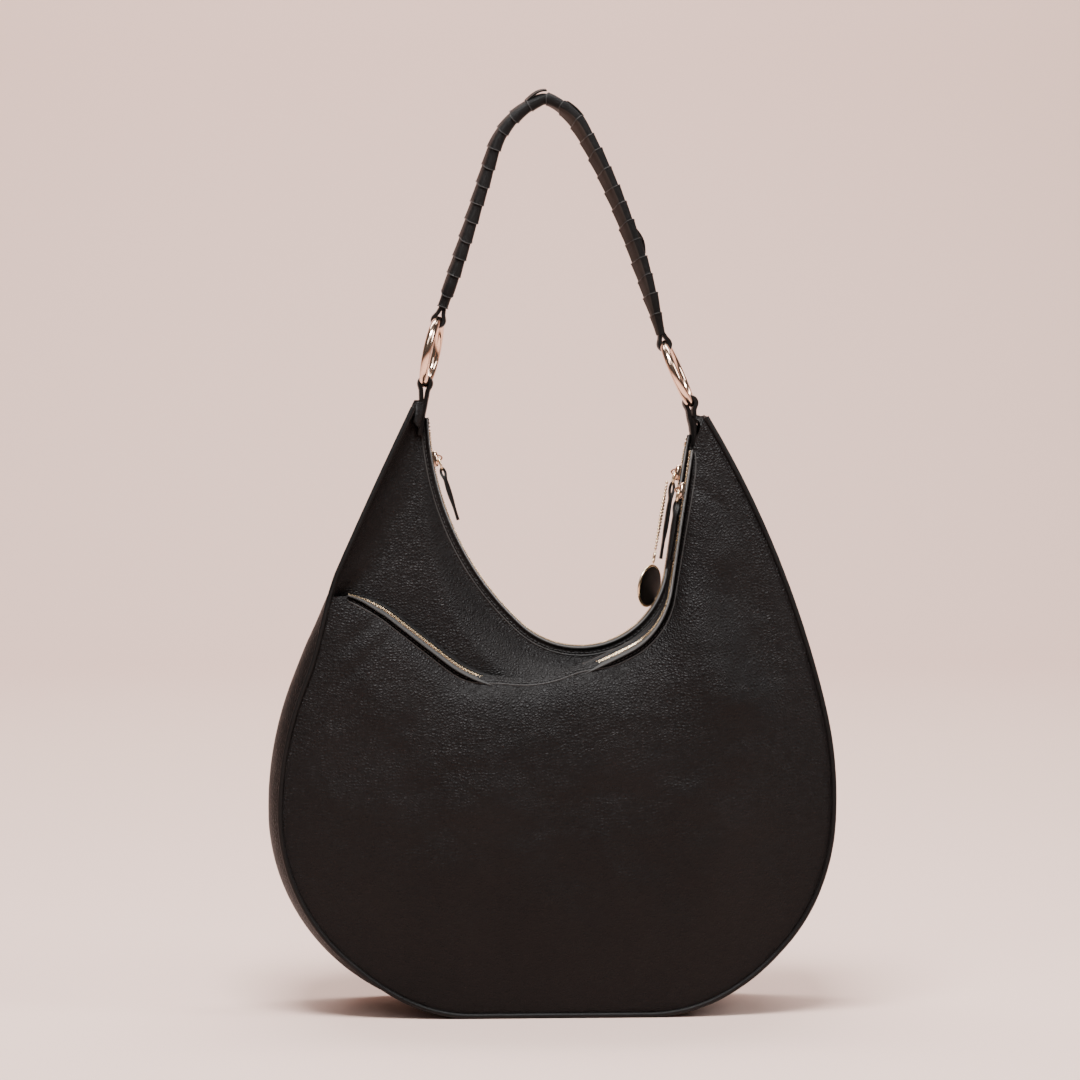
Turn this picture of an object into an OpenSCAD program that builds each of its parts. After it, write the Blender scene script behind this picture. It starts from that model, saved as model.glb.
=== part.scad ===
// Hobo bag with two zipped compartments, O-rings and a lace-wrapped strap.
// Frame: +X to the right, +Y to the back, +Z up, origin at the middle of the foot.

/* [Body] */
// Half depth of the bag at the seams near the floor
base_half = 44; // [36:1:50]
// Half depth of the bag at the seams beside the tips
tip_half = 13; // [11:0.5:16]
// Height at which the seams come together
taper_top = 420; // [410:5:440]
// Thickness of the leather panels
leather = 1.6; // [1.2:0.1:2]
// Thickness of the lining cloth
cloth = 0.6; // [0.4:0.1:0.9]
// How far the front panel swells forward
front_swell = 5.5; // [4:0.5:7]
// How far the back panel swells backward
back_swell = 25; // [16:0.5:26]
// Radius of the piping in the seams
piping_r = 2; // [1.5:0.1:2.2]
// How far the seams lie inside the widest outline
seam_inset = 7; // [6:0.5:9]

/* [Zips] */
// Half width of the slot between the two rows of teeth
slot_half = 0.7; // [0.6:0.05:0.8]
// Distance from the middle of a zip to the edge of its teeth
teeth_edge = 3; // [2.8:0.1:3.2]
// Distance from the middle of a zip to the edge of its visible tape
tape_edge = 6.2; // [6:0.1:6.4]
// Thickness of a row of teeth
teeth_t = 2.2; // [2:0.1:2.4]
// Thickness of the zip tape
tape_t = 0.8; // [0.6:0.1:1]
// Distance of the middle of the main zip behind the centre plane
main_zip_y = 3; // [2:0.5:4]
// Lean of the plane of the front zip, in degrees
front_lean = 8; // [7.5:0.25:8.5]

/* [Handle] */
// Radius of the middle of an O-ring's wire
ring_r = 22; // [20:0.5:23]
// Radius of an O-ring's wire
wire_r = 3; // [2.5:0.1:3.2]
// Width of the strap core
strap_w = 19; // [16:0.5:20]
// Thickness of the strap core
strap_t = 5; // [4:0.25:6]
// Thickness of the lace wrapped around the strap
lace_t = 1.1; // [0.8:0.1:1.3]
// Width of the leather tabs that hold the O-rings
tab_w = 14; // [12:0.5:16]

/* [Charm] */
// Radius of the round leather tag
tag_r = 15; // [12:0.5:15.5]
// Radius of one ball of the ball chain
ball_r = 1.1; // [0.9:0.1:1.2]

/* [Hidden] */
$fn = 48;
leather_colour = [0.10, 0.09, 0.085];
lace_colour = [0.13, 0.11, 0.10];
cloth_colour = [0.35, 0.31, 0.27];
tape_colour = [0.05, 0.05, 0.05];
gold = [0.85, 0.68, 0.45];
rose_gold = [0.88, 0.66, 0.54];
gap = 0.3;
panel_steps = 34;
across_steps = 6;
edge_drop = 0.8;
// Linings: how far below the zips they start, and the part of the divider that the front one covers
lining_drop = 5;
lining_gap = 1.3;
divider_ends = [8, 32]/panel_steps;
divider_first = 1/3;

// A route lies in the XZ plane: its start, its heading, and stretches of [length, turn].
// Widest outline of the bag, from the left tip round the foot to the right tip
outline = [[-101.1, 404.35], -115.5,
    [[134, 2], [60, 2.5], [89.4, 21], [219.1, 90], [118.7, 0], [208.9, 90], [64, 12],
    [114, 9], [108, 9]]];
// Main zip: a wide arc down the left side, a tight one at the foot, straight up the right
main_arc_centre = [115, 412];
main_arc_r = 200;
main_arc_start = 184;
main_arc_turn = 43;
main_route = [main_arc_centre + main_arc_r*[cos(main_arc_start), sin(main_arc_start)],
    main_arc_start - 270,
    [[arc_length(main_arc_r, main_arc_turn), main_arc_turn], [arc_length(60, 124), 124], [91, 0]]];
// Front zip, in its own leaning plane: over the left shoulder, through the dip, up the right
front_route = [[-140, 290], -12.5, [[34, -25.5], [48, 0], [90, 62], [42, 2], [50, 55], [92, 0]]];
front_zip_base = -65.2;
main_left_s = 19;
main_right_s = route_length(main_route) - 21;
front_s = route_length(front_route) - 22;

// O-rings: middle of the wire inside each tab, and the lean of each ring to the inside
left_foot = [-87, 431.5];
left_ring_lean = 12;
right_foot = [95.6, 418];
right_ring_lean = 24;
left_top = left_foot + 2*ring_r*[sin(left_ring_lean), cos(left_ring_lean)];
right_top = right_foot + 2*ring_r*[-sin(right_ring_lean), cos(right_ring_lean)];
handle_y = -1;
loop_bore = 5;
loop_outer = 7;
// Strap: up from the left ring, sharply over the peak and down to the right ring
strap_route = [[-74.9, 483.7], 71,
    [[111, 2], [50, -50], [8, -50], [30, -33], [60, -8], [90.2, -8]]];
// Height of the tab hinge below the wire in each tab
hinge_drop = 11.5;
root_clear = 0.8;
tail_t = 5;

function arc_length(r, turn) = r*turn*PI/180;
function route_length(route) = total([for (s = route[2]) s[0]]);
function total(v, i = 0) = i == len(v) ? 0 : v[i] + total(v, i + 1);
function mix(a, b, t) = a + (b - a)*t;
function ease(t) = t <= 0 ? 0 : t >= 1 ? 1 : t*t*(3 - 2*t);

// Place reached after a distance s along one arc that turns by k degrees per millimetre
function along(p, h, s, k) = k == 0 ? p + s*[cos(h), sin(h)]
    : p + 180/PI/k*[sin(h + k*s) - sin(h), cos(h) - cos(h + k*s)];
// [x, z, heading] at a distance s along a route
function spot(route, s) = walk(route[0], route[1], route[2], s, 0);
function walk(p, h, parts, s, i) = let (k = parts[i][1]/parts[i][0])
    s <= parts[i][0] || i == len(parts) - 1 ? concat(along(p, h, s, k), [h + k*s])
    : walk(along(p, h, parts[i][0], k), h + parts[i][1], parts, s - parts[i][0], i + 1);
// [x, z] beside a spot, to the left of its heading
function beside(q, d) = [q[0] - d*sin(q[2]), q[1] + d*cos(q[2])];

// Half depth at the seams, at the height z
function half_depth(z) = tip_half + (base_half - tip_half)*(1 - pow(z/taper_top, 2));
// Distance of the front zip in front of the centre plane, at the height z
function front_zip_depth(z) = -front_zip_base - z*tan(front_lean);

// Depths of the panels: u runs along the panel from tip to tip, v from its zip to its seam
function front_y(u, v, z) = -mix(front_zip_depth(z) + tape_edge + gap, half_depth(z) + 1, ease(v))
    - front_swell*sin(180*v)*sin(180*u);
function middle_y(u, v, z) = -mix(mix(tape_edge - main_zip_y + gap,
    min(front_zip_depth(z) - tape_edge - 1, 27), ease(v*7)), half_depth(z) - leather - 8, pow(v, 6));
function back_y(u, v, z) = mix(main_zip_y + tape_edge + gap, half_depth(z) + 1, pow(v, 0.7))
    + back_swell*sin(180*pow(v, 0.8))*sin(180*u);

// Closed skin over a row of equal rings of points, each ring an even number of points
module skin(rings) {
    n = len(rings);
    m = len(rings[0]);
    last = (n - 1)*m;
    sides = [for (i = [0:n - 2], k = [0:m - 1])
        each quad(i*m + k, i*m + (k + 1)%m, (i + 1)*m + (k + 1)%m, (i + 1)*m + k)];
    caps = [for (k = [0:m/2 - 2]) each concat(quad(m - 1 - k, m - 2 - k, k + 1, k),
        quad(last + k, last + k + 1, last + m - 2 - k, last + m - 1 - k))];
    polyhedron([for (r = rings) each r], concat(sides, caps));
}
function quad(a, b, c, d) = [[a, b, c], [a, c, d]];

// Curved panel between two edges
module panel(inner, outer, inner_gap, level, thick, ends = [0, 1], first = 0, steps = panel_steps) {
    skin([for (i = [0:steps])
        let (u = mix(ends[0], ends[1], i/steps),
            a = edge_point(inner, u, -inner_gap),
            b = edge_point(outer, u, seam_inset + gap),
            rows = [for (j = [0:across_steps]) let (v = mix(first, 1, j/across_steps), p = mix(a, b, v))
                [p[0], level(u, v, p[1]), p[1]]])
        concat([for (p = rows) p + [0, thick, 0]], [for (j = [across_steps:-1:0]) rows[j]])]);
}

function edge_point(edge, u, d) = let (p = beside(spot(edge[0], mix(edge[1], edge[2], u)), d))
    [p[0], p[1]*edge[3]];

// Flat outline in the XZ plane carried from y0 to y1
module across(y0, y1) {
    rotate([90, 0, 0]) translate([0, 0, -y1]) linear_extrude(y1 - y0) children();
}
// Band of even thickness along a stretch of a route
module band(route, s0, s1, half, steps) {
    line = [for (i = [0:steps]) spot(route, mix(s0, s1, i/steps))];
    polygon(concat([for (q = line) beside(q, half)],
        [for (i = [steps:-1:0]) beside(line[i], -half)]));
}
module on_route(route, s) {
    q = spot(route, s);
    translate([q[0], 0, q[1]]) rotate([0, -q[2], 0]) children();
}
module main_plane() {
    translate([0, main_zip_y, 0]) children();
}
module front_plane() {
    translate([0, front_zip_base, 0]) rotate([-front_lean, 0, 0]) children();
}

// Bag shell
outline_end = route_length(outline);
main_end = route_length(main_route);
front_end = route_length(front_route);
front_corner_s = 128;
// An edge: its route, where it begins and ends on it, and how much its plane's lean shortens it
whole_outline = [outline, 2, outline_end - 2, 1];
whole_main = [main_route, 0, main_end, 1];
front_outline = [outline, front_corner_s, outline_end - 2, 1];
whole_front = [front_route, 0, front_end, cos(front_lean)];

module front_panel() {
    color(leather_colour) panel(whole_front, front_outline, edge_drop, function (u, v, z) front_y(u, v, z),
        leather);
}
module middle_panel() {
    color(leather_colour) panel(whole_main, whole_outline, edge_drop, function (u, v, z) middle_y(u, v, z),
        leather);
}
module back_panel() {
    color(leather_colour) panel(whole_main, whole_outline, edge_drop,
        function (u, v, z) back_y(u, v, z) - leather, leather);
}
// Band round the sides and the foot, flat in its middle and rolled in towards both seams
module gusset() {
    steps = 56;
    rows = [-1, -0.85, -0.62, 0.62, 0.85, 1];
    color(leather_colour) skin([for (i = [0:steps])
        let (q = spot(outline, mix(0, outline_end, i/steps)))
        concat([for (v = rows) gusset_point(q, v, leather)],
            [for (j = [len(rows) - 1:-1:0]) gusset_point(q, rows[j], 0)])]);
}
function gusset_point(q, v, depth) =
    let (roll = max(0, (abs(v) - 0.6)/0.4), p = beside(q, depth + (seam_inset - leather)*roll*roll))
    [p[0], (half_depth(q[1]) - 2*gap)*v, p[1]];
module piping(side) {
    steps = 60;
    sides = 8;
    skin([for (i = [0:steps]) let (q = spot(outline, mix(0, outline_end, i/steps)))
        [for (k = [0:sides - 1]) let (a = 360*k/sides + 22.5,
            p = beside(q, seam_inset - piping_r - gap - side*piping_r*sin(a)))
            [p[0], side*(half_depth(q[1]) + piping_r + gap + piping_r*cos(a)), p[1]]]]);
}
module front_piping() {
    color(leather_colour) piping(-1);
}
module back_piping() {
    color(leather_colour) piping(1);
}
// Each lining has one leaf against each wall of its compartment
module front_lining() {
    color(cloth_colour) {
        panel(whole_front, front_outline, lining_drop,
            function (u, v, z) front_y(u, v, z) + leather + lining_gap, cloth);
        panel(whole_main, whole_outline, edge_drop, function (u, v, z) middle_y(u, v, z) - cloth - lining_gap,
            cloth, divider_ends, divider_first, 24);
    }
}
module rear_lining() {
    color(cloth_colour) {
        panel(whole_main, whole_outline, lining_drop,
            function (u, v, z) middle_y(u, v, z) + leather + lining_gap, cloth);
        panel(whole_main, whole_outline, lining_drop,
            function (u, v, z) back_y(u, v, z) - leather - lining_gap - cloth, cloth);
    }
}

// Zips
module tape(route, side) {
    y = [side*teeth_edge, side*tape_edge];
    across(min(y), max(y)) band(route, 0, route_length(route), tape_t/2, 40);
}
module teeth(route, side) {
    y = [side*slot_half, side*teeth_edge];
    across(min(y), max(y)) band(route, 2, route_length(route) - 2, teeth_t/2, 40);
}
module stops(route) {
    for (s = [0.9, route_length(route) - 0.9]) {
        on_route(route, s) translate([-0.9, -teeth_edge, -teeth_t/2]) cube([1.8, 2*teeth_edge, teeth_t]);
    }
}
module main_zip_tape_front() {
    color(tape_colour) main_plane() tape(main_route, -1);
}
module main_zip_tape_back() {
    color(tape_colour) main_plane() tape(main_route, 1);
}
module main_zip_teeth_front() {
    color(gold) main_plane() teeth(main_route, -1);
}
module main_zip_teeth_back() {
    color(gold) main_plane() teeth(main_route, 1);
}
module main_zip_stops() {
    color(gold) main_plane() stops(main_route);
}
module front_zip_tape_lower() {
    color(tape_colour) front_plane() tape(front_route, -1);
}
module front_zip_tape_upper() {
    color(tape_colour) front_plane() tape(front_route, 1);
}
module front_zip_teeth_lower() {
    color(gold) front_plane() teeth(front_route, -1);
}
module front_zip_teeth_upper() {
    color(gold) front_plane() teeth(front_route, 1);
}
module front_zip_stops() {
    color(gold) front_plane() stops(front_route);
}

// Zip slider: two plates, the post between the rows of teeth, and the bail with its bore
plate = [11, 8, 1.2];
plate_clear = 0.25;
post = [3, 0.9];
bail_w = 2.4;
pivot_up = 4.6;
bail_bore = 1.3;
link_r = 4.2;
link_wire = 0.8;
module slider(head) {
    level = teeth_t/2 + plate_clear;
    difference() {
        union() {
            for (z = [level, -level - plate[2]]) {
                translate([-plate[0]/2, -plate[1]/2, z]) cube(plate);
            }
            translate([head*3.5 - post[0]/2, -post[1]/2, -level]) cube([post[0], post[1], 2*level]);
            translate([-2.3, -bail_w/2, level + plate[2] - 0.1])
                cube([4.6, bail_w, pivot_up + 2.3 - level - plate[2] + 0.1]);
        }
        translate([0, 0, pivot_up]) rotate([90, 0, 0]) cylinder(r = bail_bore, h = 10, center = true);
    }
}
// Wire link that hangs in the bail along +X
module link() {
    translate([link_r, 0, 0]) rotate_extrude() translate([link_r, 0]) circle(r = link_wire, $fn = 20);
}
// Leather puller of the given length, with its eye around the far side of the link
module puller(long) {
    eye_w = 3;
    body_w = 8;
    thick = 3;
    eye_r = 2.7;
    start = 2*link_r + 2.2;
    difference() {
        union() {
            translate([2*link_r, 0, 0]) rotate([90, 0, 0]) cylinder(r = eye_r, h = eye_w, center = true);
            translate([2*link_r, -eye_w/2, -thick/2]) cube([4, eye_w, thick]);
            translate([0, 0, -thick/2]) linear_extrude(thick) {
                translate([start, -body_w/2]) square([long - body_w/2, body_w]);
                translate([start + long - body_w/2, 0]) circle(r = body_w/2);
            }
        }
        translate([2*link_r, 0, 0]) rotate([90, 0, 0]) cylinder(r = 1.3, h = 20, center = true);
    }
}
// Frame of a pull: its pivot at the bail, +X along the hanging pull
module pull_frame(route, s, way, lift) {
    on_route(route, s) translate([0, 0, pivot_up]) rotate([0, way > 0 ? -lift : 180 + lift, 0])
        children();
}
left_lift = 8;
right_lift = 0;
left_puller_l = 34;
right_puller_l = 50;
front_puller_l = 44;

module main_slider_left() {
    color(gold) main_plane() on_route(main_route, main_left_s) slider(-1);
}
module main_link_left() {
    color(gold) main_plane() pull_frame(main_route, main_left_s, 1, left_lift) link();
}
module main_puller_left() {
    color(leather_colour) main_plane() pull_frame(main_route, main_left_s, 1, left_lift)
        puller(left_puller_l);
}
module main_slider_right() {
    color(gold) main_plane() on_route(main_route, main_right_s) slider(1);
}
module main_link_right() {
    color(gold) main_plane() pull_frame(main_route, main_right_s, -1, right_lift) link();
}
module main_puller_right() {
    color(leather_colour) main_plane() pull_frame(main_route, main_right_s, -1, right_lift)
        puller(right_puller_l);
}
module front_slider() {
    color(gold) front_plane() on_route(front_route, front_s) slider(1);
}
module front_link() {
    color(gold) front_plane() pull_frame(front_route, front_s, -1, right_lift) link();
}
module front_puller() {
    color(leather_colour) front_plane() pull_frame(front_route, front_s, -1, right_lift)
        puller(front_puller_l);
}

// Charm: ball chain, jump ring and round tag, hung beside the eye of the right puller
charm_pivot_x = 1.9*link_r;
charm_lift = 0.5;
charm_out = 4.2;
chain_balls = 20;
module charm_frame() {
    main_plane() pull_frame(main_route, main_right_s, -1, right_lift)
        translate([charm_pivot_x, 0, -charm_out]) rotate([0, charm_lift, 0]) children();
}
chain_end = chain_balls*2.1*ball_r + 2;
tag_ring_r = 4;
module ball_chain() {
    color(gold) charm_frame() {
        for (i = [0:chain_balls - 1]) translate([i*2.1*ball_r, 0, 0]) sphere(r = ball_r, $fn = 16);
        rotate([0, 90, 0]) cylinder(r = 0.4, h = (chain_balls - 1)*2.1*ball_r, $fn = 16);
    }
}
module tag_ring() {
    color(gold) charm_frame() translate([chain_end + tag_ring_r, 0, 0]) rotate_extrude()
        translate([tag_ring_r, 0]) circle(r = 0.7, $fn = 20);
}
tag_x = chain_end + 2*tag_ring_r + tag_r + 1.2;
tag_t = 3;
module tag_disc() {
    color(leather_colour) charm_frame() translate([tag_x, 0, 0])
        cylinder(r = tag_r - 1.2, h = tag_t - 0.8, center = true);
}
module tag_rim() {
    color(gold) charm_frame() translate([tag_x, 0, 0]) difference() {
        cylinder(r = tag_r, h = tag_t, center = true);
        cylinder(r = tag_r - 1.2, h = 2*tag_t, center = true);
    }
}

// Handle: tabs, rings and strap
module tab_root(foot, root_h) {
    translate([foot[0] - tail_t/2, handle_y - tab_w/2, foot[1] - hinge_drop - tab_w/2 - root_clear - root_h])
        cube([tail_t, tab_w, root_h]);
}
// Loop of leather round a ring's wire; its tail ends in a half round about the hinge line
module tab_loop(foot) {
    translate([foot[0], handle_y, foot[1]]) difference() {
        union() {
            rotate([90, 0, 0]) cylinder(r = loop_outer, h = tab_w, center = true);
            translate([-tail_t/2, -tab_w/2, -hinge_drop]) cube([tail_t, tab_w, hinge_drop]);
            translate([-tail_t/2, 0, -hinge_drop]) rotate([0, 90, 0]) cylinder(d = tab_w, h = tail_t);
        }
        rotate([90, 0, 0]) cylinder(r = loop_bore, h = 2*tab_w, center = true);
    }
}
module o_ring(foot, lean) {
    translate([foot[0], handle_y, foot[1]]) rotate([0, lean, 0]) translate([0, 0, ring_r])
        rotate([0, 90, 0]) rotate_extrude() translate([ring_r, 0]) circle(r = wire_r);
}
module tab_root_left() {
    color(leather_colour) tab_root(left_foot, 8);
}
module tab_root_right() {
    color(leather_colour) tab_root(right_foot, 5.5);
}
module tab_loop_left() {
    color(leather_colour) tab_loop(left_foot);
}
module tab_loop_right() {
    color(leather_colour) tab_loop(right_foot);
}
module o_ring_left() {
    color(rose_gold) o_ring(left_foot, left_ring_lean);
}
module o_ring_right() {
    color(rose_gold) o_ring(right_foot, -right_ring_lean);
}
strap_end = route_length(strap_route);
strap_steps = 52;
module strap_core() {
    color(leather_colour) across(handle_y - strap_w/2, handle_y + strap_w/2)
        band(strap_route, 0, strap_end, strap_t/2, strap_steps);
}
// Sleeve of lace around the core, open at both ends
module strap_wrap() {
    edge = strap_w/2 + 0.1;
    start = 4;
    color(lace_colour) difference() {
        across(handle_y - edge - lace_t, handle_y + edge + lace_t)
            band(strap_route, start, strap_end - start, strap_t/2 + lace_t, strap_steps);
        across(handle_y - edge, handle_y + edge)
            band(strap_route, 0, strap_end, strap_t/2 + 0.1, strap_steps);
    }
}
// Loop of the strap around the top of a ring, with the tongue that meets the end of the core
module strap_loop(top, s, outward) {
    loop_w = 12;
    tongue = [6, 11, strap_t - 1];
    translate([0, handle_y, 0]) difference() {
        union() {
            translate([top[0], 0, top[1]]) rotate([90, 0, 0])
                cylinder(r = loop_outer, h = loop_w, center = true);
            on_route(strap_route, s)
                translate([outward > 0 ? 0 : -tongue[0], -tongue[1]/2, -tongue[2]/2]) cube(tongue);
        }
        translate([top[0], 0, top[1]]) rotate([90, 0, 0])
            cylinder(r = loop_bore, h = 2*loop_w, center = true);
    }
}
module strap_loop_left() {
    color(leather_colour) strap_loop(left_top, 0, -1);
}
module strap_loop_right() {
    color(leather_colour) strap_loop(right_top, strap_end, 1);
}

front_panel();
middle_panel();
back_panel();
gusset();
front_piping();
back_piping();
front_lining();
rear_lining();
main_zip_tape_front();
main_zip_tape_back();
main_zip_teeth_front();
main_zip_teeth_back();
main_zip_stops();
front_zip_tape_lower();
front_zip_tape_upper();
front_zip_teeth_lower();
front_zip_teeth_upper();
front_zip_stops();
main_slider_left();
main_link_left();
main_puller_left();
main_slider_right();
main_link_right();
main_puller_right();
front_slider();
front_link();
front_puller();
ball_chain();
tag_ring();
tag_disc();
tag_rim();
tab_root_left();
tab_root_right();
tab_loop_left();
tab_loop_right();
o_ring_left();
o_ring_right();
strap_core();
strap_wrap();
strap_loop_left();
strap_loop_right();
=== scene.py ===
import math

import bmesh
import bpy
import numpy as np
from mathutils import Matrix, Vector, noise


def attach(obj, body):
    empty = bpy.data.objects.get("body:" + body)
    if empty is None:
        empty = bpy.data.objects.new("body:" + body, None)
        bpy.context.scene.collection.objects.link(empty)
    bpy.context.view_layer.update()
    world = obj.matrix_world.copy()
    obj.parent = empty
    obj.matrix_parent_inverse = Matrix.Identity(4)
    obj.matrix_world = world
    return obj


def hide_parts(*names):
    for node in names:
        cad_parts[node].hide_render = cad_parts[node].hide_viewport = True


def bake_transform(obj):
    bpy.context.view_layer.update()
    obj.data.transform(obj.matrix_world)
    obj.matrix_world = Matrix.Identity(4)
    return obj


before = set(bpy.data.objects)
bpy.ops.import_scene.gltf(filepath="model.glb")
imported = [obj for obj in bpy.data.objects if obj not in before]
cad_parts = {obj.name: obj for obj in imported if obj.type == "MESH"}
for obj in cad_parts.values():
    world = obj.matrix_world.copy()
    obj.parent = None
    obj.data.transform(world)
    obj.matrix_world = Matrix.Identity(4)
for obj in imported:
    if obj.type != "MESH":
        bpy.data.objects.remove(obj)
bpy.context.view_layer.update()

# ---------------------------------------------------------------- sizes, in metres
MM = 0.001
PI = math.pi
HEIGHT_OF_TAPER = 420*MM
BASE_HALF = 44*MM
TIP_HALF = 13*MM
SEAM_INSET = 7*MM
LEATHER = 1.6*MM
MAIN_ZIP_Y = 3*MM
FRONT_LEAN = math.radians(8)
FRONT_BASE = -65.2*MM
TAPE_EDGE = 6.2*MM
TOOTH_PITCH = 2.5*MM
FRONT_ZIP_TILT = math.radians(20)
RING_R = 22*MM
WIRE_R = 3*MM
HANDLE_Y = -1*MM

# Routes in the XZ plane: start, heading in degrees, stretches of (length, turn)
OUTLINE = ((-101.1, 404.35), -115.5, ((134, 2), (60, 2.5), (89.4, 21), (219.1, 90), (118.7, 0),
           (208.9, 90), (64, 12), (114, 9), (108, 9)))
MAIN_ARC = (115, 412, 200, 184, 43)
MAIN = ((MAIN_ARC[0] + MAIN_ARC[2]*math.cos(math.radians(MAIN_ARC[3])),
         MAIN_ARC[1] + MAIN_ARC[2]*math.sin(math.radians(MAIN_ARC[3]))), MAIN_ARC[3] - 270,
        ((math.radians(MAIN_ARC[4])*MAIN_ARC[2], MAIN_ARC[4]), (math.radians(124)*60, 124), (91, 0)))
FRONT = ((-140, 290), -12.5, ((34, -25.5), (48, 0), (90, 62), (42, 2), (50, 55), (92, 0)))
STRAP = ((-74.9, 483.7), 71, ((111, 2), (50, -50), (8, -50), (30, -33), (60, -8), (90.2, -8)))
MAIN_LEFT_S = 19
MAIN_RIGHT_INSET = 21
# How far, in millimetres, the soft ends are drawn out beyond the CAD's routes to the tabs
OUTLINE_BEFORE, OUTLINE_AFTER = 12, 7
MAIN_BEFORE, MAIN_AFTER = 10, 6
FRONT_AFTER = 6
FRONT_INSET = 22


def along(x, z, h, s, k):
    """Place reached after a distance s along an arc that turns by k degrees per millimetre."""
    a = math.radians(h)
    if k == 0:
        return x + s*math.cos(a), z + s*math.sin(a)
    r = 180/PI/k
    b = math.radians(h + k*s)
    return x + r*(math.sin(b) - math.sin(a)), z + r*(math.cos(a) - math.cos(b))


def route_length(route):
    return sum(length for length, _ in route[2])


def spot(route, s):
    """x, z in metres and the heading in radians at a distance s in millimetres."""
    (x, z), h, parts = route
    for i, (length, turn) in enumerate(parts):
        k = turn/length
        if s <= length or i == len(parts) - 1:
            px, pz = along(x, z, h, s, k)
            return px*MM, pz*MM, math.radians(h + k*s)
        x, z = along(x, z, h, length, k)
        h += turn
        s -= length


def beside(q, d):
    return q[0] - d*math.sin(q[2]), q[1] + d*math.cos(q[2])


def mix(a, b, t):
    return a + (b - a)*t


def ease(t):
    t = min(1.0, max(0.0, t))
    return t*t*(3 - 2*t)


L_OUT, L_MAIN, L_FRONT, L_STRAP = (route_length(r) for r in (OUTLINE, MAIN, FRONT, STRAP))

# ---------------------------------------------------------------- camera, first of all
VIEW_WIDTH = 0.745
VIEW_CENTRE = Vector((-0.008, 0, 0.3235))
CAMERA_DISTANCE = 2.3
CAMERA_AZIMUTH = math.radians(-2.5)
CAMERA_RISE = math.radians(3.0)
camera_data = bpy.data.cameras.new("camera")
camera = bpy.data.objects.new("camera", camera_data)
bpy.context.scene.collection.objects.link(camera)
bpy.context.scene.camera = camera
camera_data.sensor_width = 36
camera_data.lens = 36*CAMERA_DISTANCE/VIEW_WIDTH
camera_data.clip_start = 0.05
toward = Vector((math.sin(CAMERA_AZIMUTH)*math.cos(CAMERA_RISE),
                 -math.cos(CAMERA_AZIMUTH)*math.cos(CAMERA_RISE), math.sin(CAMERA_RISE)))
camera.location = VIEW_CENTRE + toward*CAMERA_DISTANCE
camera.rotation_euler = (-toward).to_track_quat("-Z", "Y").to_euler()


# ---------------------------------------------------------------- materials
def new_material(name):
    m = bpy.data.materials.new(name)
    m.use_nodes = True
    shader = m.node_tree.nodes["Principled BSDF"]
    return m, m.node_tree.nodes, m.node_tree.links, shader


def ramp(nodes, links, source, low, high, low_value, high_value):
    """Map a value between two limits, held at both ends."""
    n = nodes.new("ShaderNodeMapRange")
    n.inputs["From Min"].default_value = low
    n.inputs["From Max"].default_value = high
    n.inputs["To Min"].default_value = low_value
    n.inputs["To Max"].default_value = high_value
    links.new(source, n.inputs["Value"])
    return n.outputs["Result"]


def colour_mix(nodes, links, factor, a, b):
    n = nodes.new("ShaderNodeMix")
    n.data_type = "RGBA"
    n.inputs["A"].default_value = (*a, 1)
    n.inputs["B"].default_value = (*b, 1)
    links.new(factor, n.inputs["Factor"])
    return n.outputs["Result"]


def coordinates(nodes):
    return nodes.new("ShaderNodeTexCoord").outputs["Object"]


def noise_value(nodes, links, at, scale, detail=3.0, rough=0.5):
    n = nodes.new("ShaderNodeTexNoise")
    n.inputs["Scale"].default_value = scale
    n.inputs["Detail"].default_value = detail
    n.inputs["Roughness"].default_value = rough
    links.new(at, n.inputs["Vector"])
    return n.outputs["Fac"]


def cells(nodes, links, at, scale, feature="DISTANCE_TO_EDGE"):
    n = nodes.new("ShaderNodeTexVoronoi")
    n.feature = feature
    n.inputs["Scale"].default_value = scale
    links.new(at, n.inputs["Vector"])
    return n.outputs["Distance"]


def bump(nodes, links, height, distance, strength, below=None):
    n = nodes.new("ShaderNodeBump")
    n.inputs["Distance"].default_value = distance
    n.inputs["Strength"].default_value = strength
    links.new(height, n.inputs["Height"])
    if below is not None:
        links.new(below, n.inputs["Normal"])
    return n.outputs["Normal"]


def warped(nodes, links, at, scale, amount):
    """Coordinates pushed about by noise, so that cells are uneven as skin is."""
    n = nodes.new("ShaderNodeTexNoise")
    n.inputs["Scale"].default_value = scale
    n.inputs["Detail"].default_value = 1.0
    links.new(at, n.inputs["Vector"])
    add = nodes.new("ShaderNodeVectorMath")
    add.operation = "MULTIPLY_ADD"
    add.inputs[1].default_value = (amount, amount, amount)
    links.new(n.outputs["Color"], add.inputs[0])
    links.new(at, add.inputs[2])
    return add.outputs["Vector"]


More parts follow.
